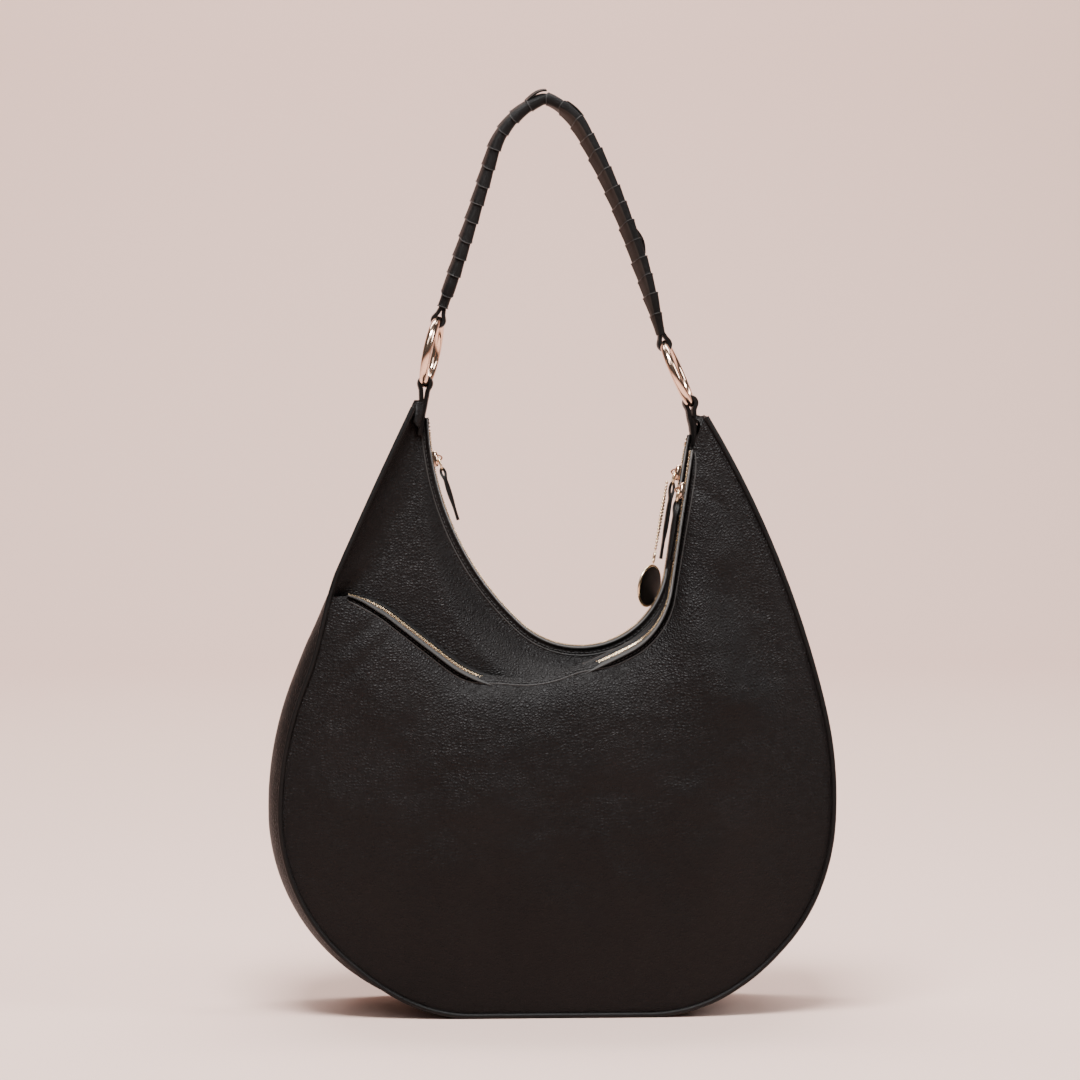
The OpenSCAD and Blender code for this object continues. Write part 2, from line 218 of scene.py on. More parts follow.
def leather_material(name, dark, light, cell, depth, rough, gloss=0.3):
    """Pebbled hide: uneven rounded cells, fine pores between, patches of wear in the gloss."""
    m, nodes, links, shader = new_material(name)
    at = coordinates(nodes)
    bent = warped(nodes, links, at, 0.35/cell, 0.9*cell)
    pebble = ramp(nodes, links, cells(nodes, links, bent, 1/cell), 0.0, 0.46, 0.0, 1.0)
    fine = cells(nodes, links, bent, 3.2/cell, "F1")
    patch = noise_value(nodes, links, at, 14, 3)
    grain_patch = ramp(nodes, links, noise_value(nodes, links, at, 22, 2), 0.3, 0.7, 0.75, 1.0)
    strength = nodes.new("ShaderNodeMath")
    strength.operation = "MULTIPLY"
    links.new(pebble, strength.inputs[0])
    links.new(grain_patch, strength.inputs[1])
    first = bump(nodes, links, fine, depth*0.25, 0.5)
    second = bump(nodes, links, strength.outputs[0], depth, 1.0, first)
    soft = bump(nodes, links, noise_value(nodes, links, at, 60, 2), 0.4*MM, 0.5, second)
    links.new(soft, shader.inputs["Normal"])
    links.new(colour_mix(nodes, links, ramp(nodes, links, patch, 0.35, 0.7, 0, 1), dark, light),
              shader.inputs["Base Color"])
    links.new(ramp(nodes, links, pebble, 0, 1, rough + 0.14, rough - 0.04), shader.inputs["Roughness"])
    shader.inputs["IOR"].default_value = 1 + gloss
    return m


def metal_material(name, colour, rough):
    """Polished plating with faint hairlines and a little unevenness in its gloss."""
    m, nodes, links, shader = new_material(name)
    at = coordinates(nodes)
    stretch = nodes.new("ShaderNodeMapping")
    stretch.inputs["Scale"].default_value = (400, 2600, 400)
    links.new(at, stretch.inputs["Vector"])
    hair = noise_value(nodes, links, stretch.outputs["Vector"], 1.0, 2)
    cloud = noise_value(nodes, links, at, 180, 3)
    links.new(ramp(nodes, links, cloud, 0.3, 0.75, rough, rough + 0.1), shader.inputs["Roughness"])
    links.new(bump(nodes, links, hair, 0.012*MM, 0.35), shader.inputs["Normal"])
    darker = tuple(c*0.82 for c in colour)
    links.new(colour_mix(nodes, links, cloud, darker, colour), shader.inputs["Base Color"])
    shader.inputs["Metallic"].default_value = 1.0
    return m


def cloth_material(name, dark, light, thread, sheen):
    """Woven cloth: crossing threads, each raised over the next."""
    m, nodes, links, shader = new_material(name)
    at = coordinates(nodes)
    waves = []
    for axis in ("X", "Z"):
        w = nodes.new("ShaderNodeTexWave")
        w.bands_direction = axis
        w.inputs["Scale"].default_value = 1/(thread*20/PI)
        w.inputs["Distortion"].default_value = 0.6
        links.new(at, w.inputs["Vector"])
        waves.append(w.outputs["Fac"])
    weave = nodes.new("ShaderNodeMath")
    weave.operation = "MAXIMUM"
    links.new(waves[0], weave.inputs[0])
    links.new(waves[1], weave.inputs[1])
    links.new(bump(nodes, links, weave.outputs[0], 0.15*MM, 0.8), shader.inputs["Normal"])
    links.new(colour_mix(nodes, links, weave.outputs[0], dark, light), shader.inputs["Base Color"])
    shader.inputs["Roughness"].default_value = 0.85
    shader.inputs["Sheen Weight"].default_value = sheen
    return m


def thread_material(name, dark, light):
    m, nodes, links, shader = new_material(name)
    at = coordinates(nodes)
    twist = noise_value(nodes, links, at, 2200, 2)
    links.new(bump(nodes, links, twist, 0.1*MM, 0.8), shader.inputs["Normal"])
    links.new(colour_mix(nodes, links, twist, dark, light), shader.inputs["Base Color"])
    shader.inputs["Roughness"].default_value = 0.6
    return m


PEBBLE = leather_material("pebble_leather", (0.0030, 0.0022, 0.0022), (0.0052, 0.0039, 0.0038),
                          2.1*MM, 0.42*MM, 0.43, 0.25)
TRIM = leather_material("trim_leather", (0.0030, 0.0026, 0.0026), (0.0055, 0.0048, 0.0047),
                        0.9*MM, 0.12*MM, 0.38, 0.26)
LACE = leather_material("lace_leather", (0.0026, 0.0022, 0.0021), (0.0050, 0.0042, 0.0040),
                        1.1*MM, 0.22*MM, 0.40, 0.22)
SUEDE = leather_material("lace_underside", (0.017, 0.0125, 0.0105), (0.030, 0.0220, 0.0185),
                         0.5*MM, 0.08*MM, 0.66, 0.3)
# Lighter grey: the lace's own colour on its cut edges along the strap, and a painted highlight where
# edge_work lays it along the turned edges beside the zips
EDGE_PAINT_AND_PAINTED_HIGHLIGHT = leather_material("edge_paint_and_painted_highlight", (0.022, 0.021, 0.0205), (0.040, 0.038, 0.037),
                                0.7*MM, 0.04*MM, 0.36)
GOLD = metal_material("zip_gold", (0.86, 0.68, 0.46), 0.20)
ROSE = metal_material("ring_gold", (0.90, 0.63, 0.47), 0.09)
TAPE = cloth_material("zip_tape", (0.004, 0.004, 0.004), (0.014, 0.0135, 0.013), 0.45*MM, 0.2)
LINING = cloth_material("lining_cloth", (0.16, 0.125, 0.095), (0.30, 0.245, 0.195), 0.5*MM, 0.3)
THREAD = thread_material("thread", (0.010, 0.0095, 0.009), (0.035, 0.033, 0.031))


# ---------------------------------------------------------------- mesh helpers
def make_object(name, verts, faces, material, body, slot, replaced=(), sharp=math.radians(50)):
    mesh = bpy.data.meshes.new(name)
    mesh.from_pydata([tuple(v) for v in verts], [], faces)
    mesh.validate()
    mesh.materials.append(material)
    mesh.polygons.foreach_set("use_smooth", [True]*len(mesh.polygons))
    mesh.set_sharp_from_angle(angle=sharp)
    obj = bpy.data.objects.new(name, mesh)
    bpy.context.scene.collection.objects.link(obj)
    if body:
        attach(obj, body)
    if replaced:
        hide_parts(*replaced)
    return obj


def normals_of(grid, closed):
    """Unit normals of a grid of points, rows first."""
    if closed:
        dv = np.roll(grid, -1, axis=1) - np.roll(grid, 1, axis=1)
    else:
        dv = np.gradient(grid, axis=1)
    du = np.gradient(grid, axis=0)
    n = np.cross(du, dv)
    length = np.linalg.norm(n, axis=2, keepdims=True)
    return n/np.maximum(length, 1e-12)


def grid_faces(rows, cols, closed, offset=0, flip=False):
    faces = []
    for i in range(rows - 1):
        for j in range(cols if closed else cols - 1):
            k = (j + 1) % cols
            quad = (offset + i*cols + j, offset + i*cols + k,
                    offset + (i + 1)*cols + k, offset + (i + 1)*cols + j)
            faces.append(quad[::-1] if flip else quad)
    return faces


def thick_sheet(grid, thickness):
    """A sheet with two faces and a rim; the second face lies at -thickness along the normal."""
    rows, cols, _ = grid.shape
    n = normals_of(grid, False)
    verts = np.concatenate([grid.reshape(-1, 3), (grid - n*thickness).reshape(-1, 3)])
    count = rows*cols
    faces = grid_faces(rows, cols, False) + grid_faces(rows, cols, False, count, True)
    rim = ([i*cols for i in range(rows)] + [(rows - 1)*cols + j for j in range(1, cols)]
           + [i*cols + cols - 1 for i in range(rows - 2, -1, -1)] + [j for j in range(cols - 2, 0, -1)])
    for a, b in zip(rim, rim[1:] + rim[:1]):
        faces.append((a, b, count + b, count + a))
    return verts, faces


def tube(grid):
    """A closed tube over rings of points, with flat ends."""
    rows, cols, _ = grid.shape
    faces = grid_faces(rows, cols, True)
    faces.append(tuple(range(cols)))
    faces.append(tuple((rows - 1)*cols + j for j in range(cols - 1, -1, -1)))
    return grid.reshape(-1, 3), faces


def swept(points, across, radii, sides=12, squareness=1.0):
    """Tube along points: across is the side direction at each point, radii its half axes."""
    points = np.array(points, float)
    rings = []
    tangents = np.gradient(points, axis=0)
    for i, p in enumerate(points):
        t = Vector(tangents[i]).normalized()
        a = Vector(across[i] if len(across) == len(points) else across[0])
        a = (a - t*a.dot(t)).normalized()
        b = t.cross(a)
        ra, rb = radii[i] if isinstance(radii, list) else radii
        ring = []
        for k in range(sides):
            w = 2*PI*k/sides
            c, s = math.cos(w), math.sin(w)
            c = math.copysign(abs(c)**squareness, c)
            s = math.copysign(abs(s)**squareness, s)
            ring.append(Vector(p) + a*(ra*c) + b*(rb*s))
        rings.append(ring)
    return tube(np.array(rings, float))


def joined(parts):
    """One list of vertices and faces from several."""
    verts, faces = [], []
    for v, f in parts:
        n = len(verts)
        verts.extend(tuple(p) for p in v)
        faces.extend(tuple(i + n for i in face) for face in f)
    return verts, faces


def bevelled_box(size, bevel, segments=1):
    bm = bmesh.new()
    bmesh.ops.create_cube(bm, size=1.0)
    bmesh.ops.scale(bm, vec=size, verts=bm.verts)
    bmesh.ops.bevel(bm, geom=bm.edges, offset=bevel, segments=segments, affect="EDGES", profile=0.6)
    verts = [v.co.copy() for v in bm.verts]
    faces = [tuple(v.index for v in f.verts) for f in bm.faces]
    bm.free()
    return verts, faces


def placed(part, matrix):
    return [matrix @ Vector(v) for v in part[0]], part[1]


def zip_tilt(s):
    """How far the front zip turns its face to the front, fading out before its slider."""
    return FRONT_ZIP_TILT*ease(s/25)*ease((L_FRONT - 96 - s)/60)


def frame_on(route, s, plane, lift=0.0, side=0.0):
    """Matrix of a place on a zip: X along it, Y across it to the back, Z out of it."""
    x, z, h = spot(route, s)
    local = Matrix(((math.cos(h), 0, -math.sin(h), x), (0, 1, 0, 0),
                    (math.sin(h), 0, math.cos(h), z), (0, 0, 0, 1)))
    tilt = Matrix.Rotation(zip_tilt(s), 4, "X") if route is FRONT else Matrix.Identity(4)
    return plane @ local @ tilt @ Matrix.Translation((0, side, lift))


MAIN_PLANE = Matrix.Translation((0, MAIN_ZIP_Y, 0))
FRONT_PLANE = Matrix.Translation((0, FRONT_BASE, 0)) @ Matrix.Rotation(-FRONT_LEAN, 4, "X")


# ---------------------------------------------------------------- leather panels
SEW = 0.3*MM
# The panels lap over the rolled edge of the gusset, under the piping
SEAM_LAP = 2.0*MM
FRONT_CORNER_S = 128
FRONT_LEFT_INSET = 12*MM
FRONT_RIGHT_INSET = 9*MM
FRONT_TIP_INSET = 4*MM
FOOT_INSET = 4*MM
LEFT_TIP_INSET = 3*MM
LEFT_BAND_S = 105
ROWS, COLS = 260, 96


def half_depth(z):
    return TIP_HALF + (BASE_HALF - TIP_HALF)*(1 - min(1.0, z/HEIGHT_OF_TAPER)**2)


def front_zip_depth(z):
    return -FRONT_BASE - z*math.tan(FRONT_LEAN)


def crumple(x, z, seed, amount):
    """Soft, long wrinkles and shallow dents of slouching leather."""
    long_fold = noise.noise(Vector((x*16 + z*7, z*5 - x*4, seed)))
    dent = noise.noise(Vector((x*34, z*30, seed + 7)))
    pucker = noise.noise(Vector((x*85, z*80, seed + 13)))
    return amount*(0.62*long_fold + 0.28*dent + 0.10*pucker)


def out_edge(s_in, d):
    """Point of the outline route at s_in, moved inwards by d."""
    return beside(spot(OUTLINE, s_in), d)


def seam_inset(s):
    """How far in the front seam lies: more on the left, where the gusset shows beside it."""
    t = s/L_OUT
    if s < LEFT_BAND_S + 80:
        return mix(LEFT_TIP_INSET, FRONT_LEFT_INSET, ease((s - LEFT_BAND_S)/80))
    foot = ease((t - 0.36)/0.09)*ease((0.66 - t)/0.09)
    wide = mix(FRONT_LEFT_INSET, FRONT_RIGHT_INSET, ease((t - 0.25)/0.35))
    wide = mix(wide, FRONT_TIP_INSET, ease((t - 0.70)/0.12))
    return mix(wide, FOOT_INSET, foot)


def back_inset(s):
    """The back seam lies nearer the silhouette at the tips."""
    return mix(3.4*MM, SEAM_INSET, min(ease((s + 10)/90), ease((L_OUT - s)/90)))


def front_point(u, v):
    """The front panel: u from the left corner to the right tip, v from the zip to the seam."""
    here = mix(1, L_FRONT + FRONT_AFTER - 1, u)
    a = spot(FRONT, here)
    tilt = zip_tilt(here)
    lip = ease((here - 92)/34)*ease((206 - here)/34)
    ix, iz = beside(a, 0.2*MM - TAPE_EDGE*0.45*math.sin(tilt) + 6.8*MM*lip)
    iz *= math.cos(FRONT_LEAN)
    s = mix(FRONT_CORNER_S, L_OUT + OUTLINE_AFTER, u)
    ox, oz = out_edge(s, seam_inset(s) - SEAM_LAP)
    x, z = mix(ix, ox, v), mix(iz, oz, v)
    full = math.sin(PI*u)
    y = -mix(front_zip_depth(z) + TAPE_EDGE*math.cos(tilt) - 2.2*MM, half_depth(z) + 1*MM, ease(v))
    y -= 6.5*MM*math.sin(PI*v**0.85)*full + 2.2*MM*lip*(1 - ease(v*4))
    y -= 13*MM*(1 - math.exp(-8*v))*(1 - v)**1.3*full**0.6
    # soft folds: a hollow under the right tip and a ridge that falls from it
    right = math.exp(-((u - 0.80)/0.055)**2)*math.sin(PI*min(1, v*1.3))
    y += 4.2*MM*right - 3.0*MM*math.exp(-((u - 0.70)/0.05)**2)*math.sin(PI*min(1, v*1.4))
    slack = math.sin(PI*min(1, v*1.15))*min(1, 6*u, 6*(1 - u))
    y += crumple(x, z, 2.0, 6.5*MM)*max(0, slack)
    # the edge rolls over the zip in a soft fold
    roll = math.exp(-(v/0.05)**2)
    y += 2.2*MM*roll
    z -= 0.6*MM*roll
    # creases that run from the left corner and the right tip
    for centre, width, depth in ((0.075, 0.012, 1.1), (0.115, 0.010, 0.8), (0.94, 0.012, 0.9)):
        y += depth*MM*math.exp(-((u - centre + 0.03*v)/width)**2)*math.sin(PI*min(1, v*1.6))
    return x, y, z


def middle_point(u, v):
    """The panel between the two zips."""
    a = spot(MAIN, mix(1 - MAIN_BEFORE, L_MAIN + MAIN_AFTER - 1, u))
    ix, iz = beside(a, -0.8*MM)
    s = mix(-OUTLINE_BEFORE, L_OUT + OUTLINE_AFTER, u)
    ox, oz = out_edge(s, seam_inset(s) - SEAM_LAP*0.9)
    x, z = mix(ix, ox, v), mix(iz, oz, v)
    near = min(front_zip_depth(z) - TAPE_EDGE - 1*MM, 27*MM)
    near = mix(TAPE_EDGE - MAIN_ZIP_Y + SEW, near, ease(7*v))
    behind = LEATHER + 8*MM
    outer = half_depth(z) + 1*MM - (behind + 1*MM)*ease((s - FRONT_CORNER_S + 4)/22)*ease((L_OUT - 40 - s)/40)
    y = -mix(near, outer, v**mix(2.2, 6, ease((s - 70)/110)))
    y += crumple(x, z, 5.0, 2.0*MM)*math.sin(PI*v)*min(1, 8*u, 8*(1 - u))
    # turned edge: a low ridge along the zip
    y += 0.8*MM*math.exp(-((v - 0.035)/0.016)**2)
    return x, y, z


def back_point(u, v):
    a = spot(MAIN, mix(1, L_MAIN - 1, u))
    ix, iz = beside(a, -0.8*MM)
    s = mix(-OUTLINE_BEFORE, L_OUT + OUTLINE_AFTER, u)
    ox, oz = out_edge(s, back_inset(s) - SEAM_LAP)
    x, z = mix(ix, ox, v), mix(iz, oz, v)
    full = math.sin(PI*u)
    y = mix(MAIN_ZIP_Y + TAPE_EDGE + SEW, half_depth(z) + 1*MM, v**0.7)
    y += 22*MM*math.sin(PI*v**0.8)*full
    y += crumple(x, z, 9.0, 4.5*MM)*math.sin(PI*v)*min(1, 6*u, 6*(1 - u))
    y -= 0.8*MM*math.exp(-((v - 0.035)/0.016)**2)
    return x, y, z


def grid_of(point, rows, cols, u0=0.0, u1=1.0, v0=0.0, v1=1.0, finer=1.6):
    """Points of a panel, closer together near its zip edge."""
    us = [mix(u0, u1, i/(rows - 1)) for i in range(rows)]
    vs = [mix(v0, v1, (j/(cols - 1))**finer) for j in range(cols)]
    return np.array([[point(u, v) for v in vs] for u in us], float)


def leather_panel(name, point, node, flip, rows=ROWS, cols=COLS, slot="panel_leather", thick=LEATHER):
    grid = grid_of(point, rows, cols)
    if flip:
        grid = grid[::-1]
    verts, faces = thick_sheet(grid, thick)
    return make_object(name, verts, faces, PEBBLE, "bag", slot, (node,))


def outward(grid, sign):
    """Whether the grid's first face already looks to -Y (sign -1) or +Y (sign 1)."""
    n = normals_of(grid, False)
    return n[..., 1].mean()*sign > 0


def panel_flips(point, sign):
    return not outward(grid_of(point, 12, 8), sign)


FLIPPED = {"front": panel_flips(front_point, -1), "middle": panel_flips(middle_point, -1),
           "back": panel_flips(back_point, 1)}
leather_panel("front_panel_leather", front_point, "front_panel", FLIPPED["front"])
leather_panel("middle_panel_leather", middle_point, "middle_panel", FLIPPED["middle"])
leather_panel("back_panel_leather", back_point, "back_panel", FLIPPED["back"])


# ---------------------------------------------------------------- gusset and pipings
def gusset_grid(rows=420, cols=33):
    """Band between the front and back seams; it bulges a little between them."""
    grid = []
    for i in range(rows):
        s = mix(-OUTLINE_BEFORE, L_OUT + OUTLINE_AFTER, i/(rows - 1))
        centre = spot(OUTLINE, s)
        row = []
        for j in range(cols):
            v = -1 + 2*j/(cols - 1)
            inset = mix(seam_inset(s), back_inset(s), (v + 1)/2) - LEATHER
            d = inset*abs(v)**3.2
            x, z = beside(centre, d)
            hz = half_depth(max(z, 0)) - 0.6*MM
            y = hz*v
            quiet = (1 - v*v)*min(1, 30*i/rows, 30*(1 - i/(rows - 1)))
            dent = crumple(x + y, z - y, 21.0, 2.4*MM)*quiet
            if z > 12*MM:
                n = centre[2]
                x -= max(0, dent)*math.sin(n)
                z += max(0, dent)*math.cos(n)
            row.append((x, y, z))
        grid.append(row)
    return np.array(grid, float)


gusset = gusset_grid()
if normals_of(gusset, False)[200, 16].dot(np.array((0, 0, -1))) < 0:
    gusset = gusset[::-1]
verts, faces = thick_sheet(gusset, LEATHER*0.9)
make_object("gusset_leather", verts, faces, PEBBLE, "bag", "panel_leather", ("gusset",))


def piping(name, side, node, inset_of, y_of):
    """A cord wrapped in a thin leather strip, sewn into the seam."""
    points = []
    count = 460
    for i in range(count):
        s = mix(-OUTLINE_BEFORE, L_OUT + OUTLINE_AFTER, i/(count - 1))
        centre = spot(OUTLINE, s)
        x, z = beside(centre, max(0.6*MM, inset_of(s)))
        wobble = 0.25*MM*noise.noise(Vector((s*0.03, side*4.0, 1.0)))
        points.append((x, side*(y_of(z) + wobble), z))
    r = [1.75*MM*(1 + 0.05*noise.noise(Vector((i*0.35, side, 3)))) for i in range(count)]
    verts, faces = swept(points, [(0, 1, 0)], [(q, q) for q in r], 14)
    return make_object(name, verts, faces, TRIM, "bag", "trim_leather", (node,))


piping("front_piping_cord", -1, "front_piping", lambda s: seam_inset(s) - 2.6*MM,
       lambda z: half_depth(z) + 1.6*MM)
piping("back_piping_cord", 1, "back_piping", lambda s: back_inset(s) - 2.3*MM,
       lambda z: half_depth(z) + 1.6*MM)


# ---------------------------------------------------------------- floor and backdrop
def backdrop():
    m, nodes, links, shader = new_material("paper")
    at = coordinates(nodes)
    fibre = noise_value(nodes, links, at, 900, 2)
    links.new(colour_mix(nodes, links, fibre, (0.79, 0.565, 0.49), (0.82, 0.595, 0.52)),
              shader.inputs["Base Color"])
    links.new(bump(nodes, links, fibre, 0.05*MM, 0.2), shader.inputs["Normal"])
    shader.inputs["Roughness"].default_value = 0.9
    profile = [(-9.0, 0.0)]
    turn = 1.0
    profile += [(2.6 + turn*math.sin(a), turn - turn*math.cos(a))
                for a in (PI/2*k/24 for k in range(25))]
    profile.append((2.6 + turn, 4.2))
    grid = np.array([[(x, y, z - 0.0004) for y, z in profile] for x in (-7.0, 7.0)], float)
    mesh = bpy.data.meshes.new("paper")
    mesh.from_pydata([tuple(p) for p in grid.reshape(-1, 3)], [],
                     grid_faces(2, len(profile), False, 0, True))
    mesh.materials.append(m)
    mesh.polygons.foreach_set("use_smooth", [True]*len(mesh.polygons))
    obj = bpy.data.objects.new("paper", mesh)
    bpy.context.scene.collection.objects.link(obj)


def soft_light(name, place, target, size, watts, colour=(1, 1, 1)):
    data = bpy.data.lights.new(name, "AREA")
    data.shape = "RECTANGLE"
    data.size, data.size_y = size
    data.energy = watts
    data.color = colour
    obj = bpy.data.objects.new(name, data)
    bpy.context.scene.collection.objects.link(obj)
    obj.location = place
    obj.rotation_euler = (Vector(target) - Vector(place)).to_track_quat("-Z", "Y").to_euler()
    return obj


backdrop()
soft_light("overhead", (-0.15, -0.62, 1.7), (0, 0.0, 0.25), (0.8, 0.4), 56)
soft_light("front_left", (-1.0, -1.3, 1.6), (-0.05, 0, 0.3), (0.6, 0.6), 5)
soft_light("rake_right", (1.4, -0.55, 1.2), (0.05, 0, 0.32), (0.4, 0.9), 16)
soft_light("paper_wash", (0.0, 1.3, 3.2), (0, 3.4, 0.7), (4.0, 1.0), 185, (1.0, 0.97, 0.95))
soft_light("floor_wash_back", (0.0, 1.0, 2.6), (0, 1.3, 0.0), (3.0, 1.2), 34, (1.0, 0.98, 0.965))
soft_light("floor_wash", (0.0, -1.6, 2.4), (0, -0.9, 0.0), (2.4, 0.8), 12, (1.0, 0.98, 0.965))
world = bpy.data.worlds.new("studio")
world.use_nodes = True
world.node_tree.nodes["Background"].inputs["Color"].default_value = (1.0, 0.95, 0.925, 1)
world.node_tree.nodes["Background"].inputs["Strength"].default_value = 0.10
bpy.context.scene.world = world


# ---------------------------------------------------------------- linings
def lining(name, node, leaves, v0, v1):
    """Cloth leaves of one compartment, from v0 below the zip to v1, which stops short of the outer seam."""
    parts = []
    for point in leaves:
        grid = grid_of(point, 90, 34, 0.02, 0.98, v0, v1, 1.2)
        parts.append(thick_sheet(grid, 0.5*MM))
    verts, faces = joined(parts)
    return make_object(name, verts, faces, LINING, "bag", "lining_cloth", (node,))


def front_leaf(u, v):
    x, y, z = front_point(u, v)
    return x, y + 3.0*MM, z


def pocket_back_leaf(u, v):
    """The leaf of the front compartment that lies on the middle panel."""
    x, _, z = front_point(u, v)
    near = min(front_zip_depth(z) - TAPE_EDGE - 1*MM, 27*MM)
    return x, -mix(near, half_depth(z) - LEATHER - 8*MM, v**6) - 3.4*MM, z


def middle_leaf(u, v):
    x, y, z = middle_point(u, v)
    return x, y + 3.0*MM, z


def back_leaf(u, v):
    x, y, z = back_point(u, v)
    return x, y - 3.0*MM, z


lining("front_compartment_lining", "front_lining", (front_leaf, pocket_back_leaf), 0.06, 0.92)
lining("rear_compartment_lining", "rear_lining", (middle_leaf, back_leaf), 0.06, 0.92)


# ---------------------------------------------------------------- zips
TAPE_T = 0.7*MM
TOOTH_H = 2.3*MM


def parting(s, length, left_s, right_s):
    """How far the two rows stand apart beyond the sliders, near the ends of the zip."""
    if s < left_s:
        return 1.8*MM*ease((left_s - s)/left_s)
    if s > right_s:
        return 1.5*MM*ease((s - right_s)/(length - right_s))
    return 0.0


def tape_sheet(route, plane, side, length, left_s, right_s, dip, before, after):
    """Woven tape with the cord that carries the teeth along its inner edge."""
    offsets = ((1.6, 0.0), (2.2, 0.35), (2.9, 0.35), (3.5, 0.0), (4.6, -0.05), (TAPE_EDGE/MM + 1.5, dip))
    grid = []
    for i in range(420):
        s = mix(-before, length + after, i/419)
        part = parting(s, length, left_s, right_s)
        m = frame_on(route, s, plane)
        wave = 0.15*math.sin(s*0.11 + side)
        grid.append([m @ Vector((0, side*(o*MM + part*0.6), (h + wave*0.3)*MM)) for o, h in offsets])
    grid = np.array(grid, float)
    if normals_of(grid, False)[200, 1].dot(np.array(plane.to_3x3() @ Vector((0, 0, 1)))) < 0:
        grid = grid[::-1]
    return thick_sheet(grid, TAPE_T)


def tooth(side):
    """One stamped tooth: legs that clamp the tape, a waist, and the rounded head with its bump."""
    legs = placed(bevelled_box((1.0*MM, 1.4*MM, TOOTH_H), 0.25*MM), Matrix.Translation((0, 1.9*MM*side, 0)))
    waist = placed(bevelled_box((0.85*MM, 1.3*MM, TOOTH_H*0.78), 0.2*MM),
                   Matrix.Translation((0, 0.9*MM*side, 0)))
    head = placed(bevelled_box((1.3*MM, 1.2*MM, TOOTH_H*0.92), 0.36*MM),
                  Matrix.Translation((0, 0.05*MM*side, 0)))
    nub = placed(bevelled_box((0.7*MM, 0.6*MM, 0.5*MM), 0.16*MM),
                 Matrix.Translation((0, 0.0, TOOTH_H*0.48)))
    return joined([legs, waist, head, nub])


def teeth_row(route, plane, side, length, left_s, right_s, before, after):
    one = tooth(side)
    parts = []
    count = int((length + before + after - 4)/TOOTH_PITCH*MM)
    for i in range(count):
        s = 2 - before + (i + (0.25 if side > 0 else 0.75))*TOOTH_PITCH/MM
        part = parting(s, length, left_s, right_s)
        turn = 0.02*math.sin(i*1.7 + side)
        m = frame_on(route, s, plane, side=side*part) @ Matrix.Rotation(turn, 4, "Z")
        parts.append(placed(one, m))
    return joined(parts)


def end_stops(route, plane, length, before, after):
    parts = []
    for s in (0.9 - before, length + after - 0.9):
        m = frame_on(route, s, plane)
        parts.append(placed(bevelled_box((1.8*MM, 5.6*MM, 2.6*MM), 0.5*MM, 2), m))
    return joined(parts)


def zip_of(prefix, route, plane, length, left_s, right_s, sides, reaches):
    """Both halves of a zip and its stops. Each half reaches past the route's ends by its own pair of
    lengths, and the stops go with the second half."""
    for side, word, (before, after) in zip((-1, 1), sides, reaches):
        verts, faces = tape_sheet(route, plane, side, length, left_s, right_s, -0.35, before, after)
        make_object(f"{prefix}_tape_{word}", verts, faces, TAPE, "bag", "zip_tape",
                    (f"{prefix}_tape_{word}",))
        verts, faces = teeth_row(route, plane, side, length, left_s, right_s, before, after)
        make_object(f"{prefix}_teeth_{word}_row", verts, faces, GOLD, "bag", "zip_metal",
                    (f"{prefix}_teeth_{word}",), math.radians(35))
    verts, faces = end_stops(route, plane, length, *reaches[1])
    make_object(f"{prefix}_end_stops", verts, faces, GOLD, "bag", "zip_metal", (f"{prefix}_stops",))


# The main zip's back half ends with its route, clear of the rings when the handle swings back
zip_of("main_zip", MAIN, MAIN_PLANE, L_MAIN, MAIN_LEFT_S, L_MAIN - MAIN_RIGHT_INSET, ("front", "back"),
       ((MAIN_BEFORE, MAIN_AFTER), (0, 0)))
zip_of("front_zip", FRONT, FRONT_PLANE, L_FRONT, 0.01, L_FRONT - FRONT_INSET, ("lower", "upper"),
       ((0, FRONT_AFTER), (0, FRONT_AFTER)))

# Slider, in its own frame: X along the zip, Y across it, Z out of the bag
PLATE = (11*MM, 8*MM, 1.2*MM)
PIVOT_UP = 4.6*MM
LINK_R = 4.2*MM
LINK_WIRE = 0.8*MM
CHARM_PIVOT = 1.9*LINK_R
CHARM_OUT = 4.2*MM
BALL_R = 1.1*MM
BALLS = 20


def dome(length, width, height, segments=24, rings=10):
    """Egg-shaped cover of a slider: broad at one end, with a flat foot."""
    grid = []
    for i in range(rings + 1):
        a = PI/2*i/rings
        row = []
        for k in range(segments):
            w = 2*PI*k/segments
            c, s = math.cos(w), math.sin(w)
            narrow = 1 - 0.22*c
            row.append((length/2*c*math.cos(a)**0.8, width/2*s*math.cos(a)**0.8*narrow,
                        height*math.sin(a)))
        grid.append(row)
    return tube(np.array(grid, float))


def slider_parts(head):
    level = 1.1*MM + 0.25*MM
    parts = []
    for z in (level + PLATE[2]/2, -level - PLATE[2]/2):
        parts.append(placed(bevelled_box(PLATE, 0.5*MM, 3), Matrix.Translation((0, 0, z))))
    parts.append(placed(bevelled_box((3*MM, 1.0*MM, 2*level), 0.1*MM),
                        Matrix.Translation((head*3.5*MM, 0, 0))))
    for side in (-1, 1):
        parts.append(placed(bevelled_box((8.5*MM, 0.7*MM, 1.6*MM), 0.25*MM, 2),
                            Matrix.Translation((-head*0.8*MM, side*3.65*MM, level + 0.1*MM))))
    top = level + PLATE[2]
    parts.append(placed(dome(11.5*MM, 8.4*MM, 2.3*MM), Matrix.Translation((0, 0, top - 0.15*MM))
                        @ Matrix.Rotation(0 if head > 0 else PI, 4, "Z")))
    arch = [((-2.5 + 5.0*k/16)*MM, 0, top + (PIVOT_UP + 2.2*MM - top)*math.sin(PI*k/16)**0.55)
            for k in range(17)]
    arch = [(x, y, max(z, top - 0.1*MM)) for x, y, z in arch]
    parts.append(swept(arch, [(0, 1, 0)], (1.25*MM, 0.62*MM), 12, 0.7))
    return joined(parts)


